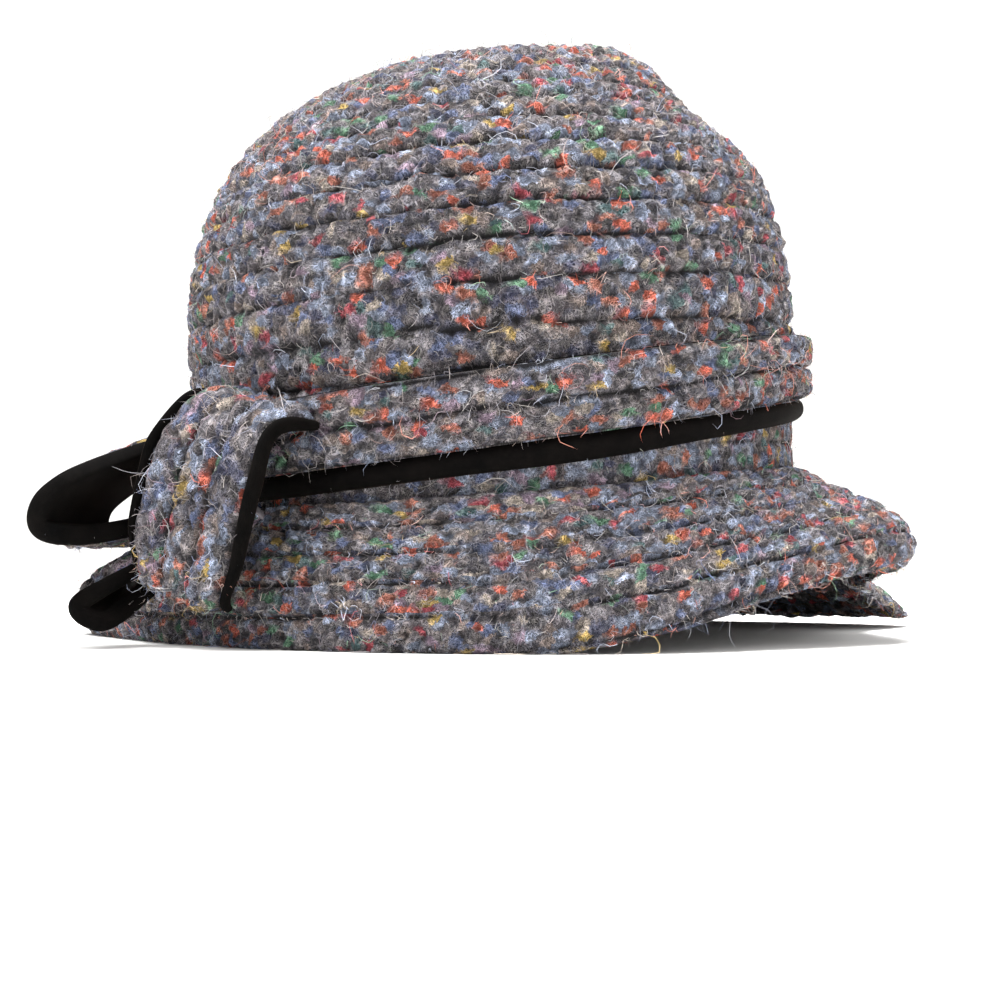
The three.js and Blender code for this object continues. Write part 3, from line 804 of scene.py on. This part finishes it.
def make_hatband_velvet():
    azimuth = columns(BAND_COLUMNS)
    top = BAND_LIFT + BAND_HEIGHT + 0.7
    under_band = BAND_LIFT - CLEARANCE
    lip = VELVET_OUT + VELVET_ROLL
    middle, half = (under_band - VELVET_SAG) / 2, (under_band + VELVET_SAG) / 2
    section = [(top, CLEARANCE), (under_band + 1, CLEARANCE), (-VELVET_SAG, CLEARANCE)]
    uneven = 1 + 0.13 * np.sin(np.radians(azimuth) * 3 + 1) + 0.09 * np.sin(np.radians(azimuth) * 8)
    for part in np.linspace(-70, 90, 9):
        turn = math.radians(part)
        height = middle + half * math.sin(turn) * (uneven if part < 0 else 1)
        section.append((height, VELVET_OUT + (lip - VELVET_OUT) * math.cos(turn) * uneven))
    section += [(under_band + 0.3, VELVET_OUT), (top - 0.6, VELVET_OUT), (top - 0.1, VELVET_OUT - 0.1)]
    rings = np.array([wall_point(azimuth, band_height_at(azimuth, h), o) for h, o in section])
    return woven("hatband_velvet_pile", rings, velvet)


# ---- Lining and sweatband ----
def make_lining():
    azimuth = columns(200)
    steps = 40
    outer, inner = -LINING_BACK, -LINING_BACK - LINING_THICKNESS
    pucker = 0.12 * np.sin(np.radians(azimuth) * 61)
    rings = [dome_point(azimuth, i / steps * TOP_CLIMB, inner) for i in range(steps, -1, -1)]
    rings += [wall_point(azimuth, h, inner + pucker) for h in (22.0, 14.0, 7.0, 0.0)]
    rings += [wall_point(azimuth, opening_height(azimuth) + CLEARANCE, side) for side in (inner, outer)]
    rings += [wall_point(azimuth, 0 * azimuth, outer)]
    rings += [dome_point(azimuth, i / 10 * TOP_CLIMB, outer) for i in range(11)]
    tips = (dome_point(0, 1.0, inner), dome_point(0, 1.0, outer))
    return woven("lining_cloth", np.array(rings), lining_cloth, tips=tips)


def make_sweatband():
    azimuth = columns(240)
    outer, inner = -SWEATBAND_BACK, -SWEATBAND_BACK - SWEATBAND_THICKNESS
    rings = []
    for share in np.linspace(0, 1, 24):
        height = mix(opening_height(azimuth) + CLEARANCE, SWEATBAND_TOP, share)
        rib = 0.15 * math.sin(share * 2 * math.pi * 6)
        rings.append(wall_point(azimuth, height, inner + rib))
    for share in (1.0, 0.5, 0.0):
        height = mix(opening_height(azimuth) + CLEARANCE, SWEATBAND_TOP, share)
        rings.append(wall_point(azimuth, height, outer))
    return woven("sweatband_ribbon", np.array(rings), lining_cloth)


# ---- Bow ----
def bow_frame():
    height = band_height_at(BOW_AZIMUTH, BAND_LIFT + BAND_HEIGHT / 2)
    origin = wall_point(BOW_AZIMUTH, height, BOW_OUT)
    outward = unit(wall_point(BOW_AZIMUTH, height, BOW_OUT + 1) - origin)
    up = -CROWN_DOWN
    right = unit(np.cross(outward, up))
    return origin, right, outward, up


BOW_ORIGIN, BOW_RIGHT, BOW_OUTWARD, BOW_UP = bow_frame()


def turned_to_bow(points):
    return points[..., :1] * BOW_RIGHT + points[..., 1:2] * BOW_OUTWARD + points[..., 2:3] * BOW_UP


def from_bow(points):
    return BOW_ORIGIN + turned_to_bow(points)


def smooth_path(places, count):
    """Points and directions along a smooth curve through the places."""
    places = np.asarray(places, float)
    padded = np.vstack([2 * places[0] - places[1], places, 2 * places[-1] - places[-2]])
    t = np.linspace(0, len(places) - 1, count)
    i = np.minimum(t.astype(int), len(places) - 2)
    s = (t - i)[:, None]
    p0, p1, p2, p3 = (padded[i + k] for k in range(4))
    spans = [np.linalg.norm(b - a, axis=1) for a, b in ((p0, p1), (p1, p2), (p2, p3))]
    d0, d1, d2 = (np.maximum(span, 1e-6)[:, None] ** 0.5 for span in spans)
    m1 = ((p1 - p0) / d0 - (p2 - p0) / (d0 + d1) + (p2 - p1) / d1) * d1
    m2 = ((p2 - p1) / d1 - (p3 - p1) / (d1 + d2) + (p3 - p2) / d2) * d1
    c2 = -3 * p1 + 3 * p2 - 2 * m1 - m2
    c3 = 2 * p1 - 2 * p2 + m1 + m2
    points = p1 + m1 * s + c2 * s * s + c3 * s ** 3
    return points, unit(np.gradient(points, axis=0))


def ribbon_frame(path, across, count):
    points, along = smooth_path(path, count)
    wide = unit(np.array(across, float))
    up = unit(np.cross(along, wide))
    return points, wide, up


def ribbon_spread(width, gather, count):
    """The ribbon's width along it: gathered at both ends, and full width from there on."""
    t = np.arange(count) / (count - 1)
    from_end = np.minimum(t, 1 - t)
    return width * mix(gather, 1, ease(np.clip((from_end - GATHER_SHARE) / WIDENING_SHARE, 0, 1)))


def make_ribbon(name, path, across, gather, width, rows, seed):
    """A tweed ribbon of the bow: its rows of knitting run along it."""
    count, face_steps = 150, rows * 12
    middle, wide, up = ribbon_frame(path, across, count)
    spread = ribbon_spread(width, gather, count)
    length = np.linalg.norm(np.diff(middle, axis=0), axis=1).sum()
    t = np.arange(count) / (count - 1)
    side = np.linspace(-0.5, 0.5, face_steps + 1)
    row = np.minimum(((side + 0.5) * rows).astype(int), rows - 1)
    share = (side + 0.5) * rows - row
    rounding = np.sqrt(np.clip(1 - (np.abs(side) * 2) ** 6, 0, 1))
    face = middle[:, None, :] + wide * (side[None, :] * spread[:, None])[..., None]
    stitch = round(length / STITCH_LENGTH) * t[:, None] + row[None, :] * 0.5
    knit = knit_height(share, stitch, face, seed) * np.minimum(spread / width, 1)[:, None]
    high = (BOW_RIBBON_THICKNESS - 0.3) * (0.25 + 0.75 * rounding)[None, :] + knit * rounding[None, :]
    top = face + up[:, None, :] * high[..., None]
    bottom_side = np.linspace(0.5, -0.5, 9)
    bottom = middle[:, None, :] + wide * (bottom_side[None, :] * spread[:, None])[..., None]
    rings = np.concatenate([top, bottom], axis=1)
    points = from_bow(rings)
    top_points = from_bow(top)
    normals = np.broadcast_to(unit(turned_to_bow(up))[:, None, :], top_points.shape)
    # Painted shade: the ribbon's underside is given a fixed seam depth, which darkens it.
    depth = np.concatenate([hollow(knit), np.full((count, 9), EDGE_SHADE_DEPTH)], axis=1)
    obj = woven_ribbon(name, points, tweed, length, seed * 37.0, depth)
    u, v = np.broadcast_arrays(t[:, None] * length, seed * 37.0 + (side + 0.5) * width)
    keep_roots(top_points[8:-8:2], normals[8:-8:2], u[8:-8:2], v[8:-8:2])
    return obj


def make_ribbon_velvet(name, path, across, gather, width):
    """The velvet inside a loop, with its rolled rims that stand round the tweed's edges."""
    count = 130
    middle, wide, up = ribbon_frame(path, across, count)
    spread = ribbon_spread(width + 2 * BOW_VELVET_EDGE, gather, count)
    back = -CLEARANCE - VELVET_THICKNESS
    t = np.arange(count) / (count - 1)
    rim = (BOW_VELVET_EDGE / 2 + 0.1) * (0.4 + 0.6 * np.abs(np.sin(np.pi * t ** 1.5)) ** 0.7)
    rise = 1.9 * rim
    half = spread / 2
    section = []
    for part in np.linspace(-90, 180, 10):
        turn = math.radians(part)
        section.append((half - rim + rim * math.cos(turn), back + rise + rise * math.sin(turn)))
    section.append((half - 2.1 * rim, np.full(count, -CLEARANCE - 0.1)))
    section.append((-half + 2.1 * rim, np.full(count, -CLEARANCE - 0.1)))
    for part in np.linspace(0, 270, 10):
        turn = math.radians(part)
        section.append((-half + rim + rim * math.cos(turn), back + rise + rise * math.sin(turn)))
    rings = np.stack([middle + wide * over[:, None] + up * high[:, None] for over, high in section], axis=1)
    length = np.linalg.norm(np.diff(middle, axis=0), axis=1).sum()
    obj = woven_ribbon(name, from_bow(rings), velvet, length, 0.0, 0.0)
    return obj


def knot_path():
    places = [(1.1, -0.97), (1.14, -0.9), (1.16, -0.5), (1.1, 0), (1, 0.5), (0.72, 0.92), (0.08, 0.98)]
    lean = math.radians(KNOT_LEAN)
    path = []
    for out, up in places:
        along = up * KNOT_HEIGHT / 2
        path.append((-along * math.sin(lean), out * KNOT_DEPTH, along * math.cos(lean) - KNOT_DROP))
    return path


def side_path(length, width, places):
    side = math.radians(BOW_AZIMUTH + 90)
    root = CLEARANCE + LOOP_GATHER * (width + 2 * BOW_VELVET_EDGE) / 2
    path = []
    for out, up, forward in places:
        right = out * math.sin(side) - forward * math.cos(side)
        outward = out * math.cos(side) + forward * math.sin(side)
        path.append((right * length, root + outward * length, up * length))
    return path


SIDE_PLACES = [
    (0, 0.08, 0), (0.26, 0.08, -0.2), (0.5, 0.02, -0.3), (0.78, -0.13, -0.12), (0.98, -0.29, 0),
    (1, -0.4, 0), (0.88, -0.45, -0.04), (0.6, -0.41, -0.26), (0.3, -0.28, -0.22), (0, -0.08, 0),
]
LOWER_PLACES = [
    (0, -0.28, 0.04), (0.26, -0.46, -0.14), (0.54, -0.58, -0.16), (0.8, -0.69, 0), (0.93, -0.78, 0.06),
    (0.84, -0.85, 0.02), (0.64, -0.74, -0.1), (0.3, -0.55, -0.1), (0, -0.37, 0.04),
]


def make_bow():
    lean = math.radians(KNOT_LEAN)
    knot_across = (math.cos(lean), 0, math.sin(lean))
    side = side_path(SIDE_LOOP_LENGTH, BOW_RIBBON_WIDTH, SIDE_PLACES)
    lower = side_path(LOWER_LOOP_LENGTH, LOWER_LOOP_WIDTH, LOWER_PLACES)
    loops = [
        ("bow_knot", knot_path(), knot_across, KNOT_GATHER, KNOT_WIDTH, 3, 31),
        ("bow_side_loop", side, (-0.5, 0.85, 0.1), LOOP_GATHER, BOW_RIBBON_WIDTH, 4, 37),
        ("bow_lower_loop", lower, (-0.45, 0.8, -0.2), LOOP_GATHER, LOWER_LOOP_WIDTH, 2, 41),
    ]
    made = {}
    for name, path, across, gather, width, rows, seed in loops:
        made[name] = make_ribbon(name + "_knit", path, across, gather, width, rows, seed)
        made[name + "_velvet"] = make_ribbon_velvet(name + "_velvet_pile", path, across, gather, width)
    return made


# ---- Loose hairs ----
# step: mm from joint to joint; curl: radians turned at each; thickness: mm from the middle out.
HAIRS = named_rows("name count joints step curl thickness seed", [
    ("short_hairs", 44000, 1, 2.2, 0.9, 0.075, 101),
    ("middling_hairs", 10500, 3, 1.4, 1.0, 0.065, 102),
    ("long_hairs", 6800, 5, 1.7, 0.85, 0.06, 103),
])
HAIR_RISE = 0.3
SHARE_OF_HAIRS = 1.0


def make_hairs(name, count, joints, step, curl, thickness, seed):
    """Hairs as thin three-sided spikes with that many joints, joined in one mesh."""
    count = int(count * SHARE_OF_HAIRS)
    luck = np.random.default_rng(seed)
    points, normals, u, v = (np.concatenate(parts) for parts in zip(*roots))
    pick = luck.integers(0, len(points), count)
    base, normal = points[pick], normals[pick]
    wander = unit(luck.normal(size=(count, 3)))
    direction = unit(normal * HAIR_RISE + unit(wander - normal * (wander * normal).sum(1, keepdims=True)))
    axis = unit(np.cross(direction, normal) * 0.5 + luck.normal(size=(count, 3)))
    length = step * luck.uniform(0.5, 1.5, (count, 1))
    spine = [base - normal * 0.5]
    for k in range(joints):
        spine.append(spine[-1] + direction * length)
        angle = curl * luck.uniform(0.4, 1.6, (count, 1))
        curled = direction * np.cos(angle) + np.cross(axis, direction) * np.sin(angle)
        direction = unit(curled + luck.normal(size=(count, 3)) * 0.08)
        inward = np.minimum((direction * normal).sum(1, keepdims=True), 0)
        direction = unit(direction - normal * inward * 0.7)
        axis = unit(axis + luck.normal(size=(count, 3)) * 0.12)
    spine = np.stack(spine, axis=1)
    spine[..., 2] = np.maximum(spine[..., 2], 0.3)
    along = unit(np.gradient(spine, axis=1))
    side_a = unit(np.cross(along, normal[:, None, :] + 0.01))
    side_b = np.cross(along, side_a)
    rings = []
    widths = thickness * luck.uniform(0.6, 1.4, (count, 1, 1))
    for turn in (0, 2 * math.pi / 3, 4 * math.pi / 3):
        taper = np.linspace(1, 0.45, joints + 1)[None, :, None]
        rings.append(spine + (side_a * math.cos(turn) + side_b * math.sin(turn)) * widths * taper)
    body = np.stack(rings, axis=2)[:, :joints]
    each = joints * 3 + 1
    vertices = np.concatenate([body.reshape(count, joints * 3, 3), spine[:, -1:, :]], axis=1).reshape(-1, 3)
    faces = []
    for k in range(joints - 1):
        for s in range(3):
            a, b = k * 3 + s, k * 3 + (s + 1) % 3
            faces += [[a, b, b + 3], [a, b + 3, a + 3]]
    last = (joints - 1) * 3
    faces += [[last + s, last + (s + 1) % 3, each - 1] for s in range(3)] + [[0, 2, 1]]
    faces = np.array(faces)
    every = (faces[None, :, :] + np.arange(count)[:, None, None] * each).reshape(-1, 3)
    uvs = np.repeat(np.stack([u[pick], v[pick]], axis=1), len(faces) * 3, axis=0)
    obj = make_piece(name, vertices, every.tolist(), uvs, None, hair)
    tone = np.repeat(luck.uniform(0, 1, count), each)
    set_on_points(obj.data, "tone", tone)
    return obj


# ---- Put the hat together ----
crown = make_crown()
brim = make_brim()
hatband = make_hatband()
hatband_velvet = make_hatband_velvet()
lining = make_lining()
sweatband = make_sweatband()
bow = make_bow()

hairs = [make_hairs(**kind) for kind in HAIRS]

for piece, node, name in [
    (crown, "crown", "tweed"), (brim, "brim", "tweed"), (hatband, "hatband", "tweed_band"),
    (hatband_velvet, "hatband_velvet", "velvet"), (lining, "lining", "lining"),
    (sweatband, "sweatband", "sweatband"),
]:
    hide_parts(node)
for node, piece in bow.items():
    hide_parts(node)


# ---- Floor, light and camera ----
def add_floor():
    """A sheet of pale paper: flat under the hat and curving up behind it."""
    material, tree = new_material("pale matt backdrop paper")
    place = add_node(tree, "ShaderNodeTexCoord").outputs["Object"]
    grain = add_node(tree, "ShaderNodeTexNoise", Vector=place, Scale=40.0)
    colour = ramp(tree, grain.outputs["Fac"], [(0.3, "#f1f0ee"), (0.7, "#f6f5f3")])
    finish_material(tree, Base_Color=colour, Roughness=0.85)
    half, flat_to, bend = 6.0, 1.6, 1.4
    profile = [(-6.0, 0.0), (flat_to, 0.0)]
    turns = np.linspace(0.1, math.pi / 2, 16)
    profile += [(flat_to + bend * math.sin(turn), bend * (1 - math.cos(turn))) for turn in turns]
    profile.append((flat_to + bend, 6.0))
    points = [(side * half, y, z) for y, z in profile for side in (-1, 1)]
    faces = [(2 * i, 2 * i + 1, 2 * i + 3, 2 * i + 2) for i in range(len(profile) - 1)]
    mesh = bpy.data.meshes.new("backdrop")
    mesh.from_pydata(points, [], faces)
    mesh.polygons.foreach_set("use_smooth", np.ones(len(faces), bool))
    mesh.materials.append(material)
    floor = bpy.data.objects.new("backdrop", mesh)
    bpy.context.scene.collection.objects.link(floor)


# Soft square lamps: place and target in metres, side in metres, power in watts.
LAMPS = named_rows("name place size power target", [
    ("key", (-0.4, -0.6, 1.3), 0.7, 27, (0, 0, 0.08)),
    ("top", (0.05, 0.1, 1.3), 0.6, 39, (0, 0, 0.08)),
    ("fill", (0.8, -1.0, 0.6), 1.2, 9, (0, 0, 0.08)),
    ("back", (0.1, 0.8, 1.1), 0.8, 8, (0, 0, 0.08)),
    ("backdrop left", (-2.0, 0.9, 1.6), 1.5, 30, (-0.6, 3.0, 0.6)),
    ("backdrop right", (2.0, 0.9, 1.6), 1.5, 30, (0.6, 3.0, 0.6)),
])
# The camera keeps the photo's direction and distance, as low as it can be above the floor.
LENS, SENSOR = 50.4, 36
CAMERA_DISTANCE, CAMERA_HEIGHT, LOOKED_AT_HEIGHT = 0.42, 0.016, 0.04


def add_lamp(name, place, size, power, target):
    lamp = bpy.data.objects.new(name, bpy.data.lights.new(name, "AREA"))
    lamp.data.size, lamp.data.energy = size, power
    lamp.location = place
    lamp.rotation_euler = (Vector(target) - Vector(place)).to_track_quat("-Z", "Y").to_euler()
    bpy.context.scene.collection.objects.link(lamp)


def add_camera():
    camera = bpy.data.objects.new("camera", bpy.data.cameras.new("camera"))
    camera.data.lens, camera.data.sensor_width = LENS, SENSOR
    camera.data.clip_start = 0.001
    x, y = CROWN_MIDDLE[0] / 1000, CROWN_MIDDLE[1] / 1000
    place = Vector((x, y - CAMERA_DISTANCE, CAMERA_HEIGHT))
    target = Vector((x, y, LOOKED_AT_HEIGHT))
    camera.location = place
    camera.rotation_euler = (target - place).to_track_quat("-Z", "Y").to_euler()
    bpy.context.scene.collection.objects.link(camera)
    bpy.context.scene.camera = camera


add_floor()
for lamp in LAMPS:
    add_lamp(**lamp)
world = bpy.data.worlds.new("studio")
world.use_nodes = True
world.node_tree.nodes["Background"].inputs["Color"].default_value = hex_colour("#ffffff")
world.node_tree.nodes["Background"].inputs["Strength"].default_value = 0.55
bpy.context.scene.world = world
bpy.context.scene.view_settings.view_transform = "Standard"
add_camera()
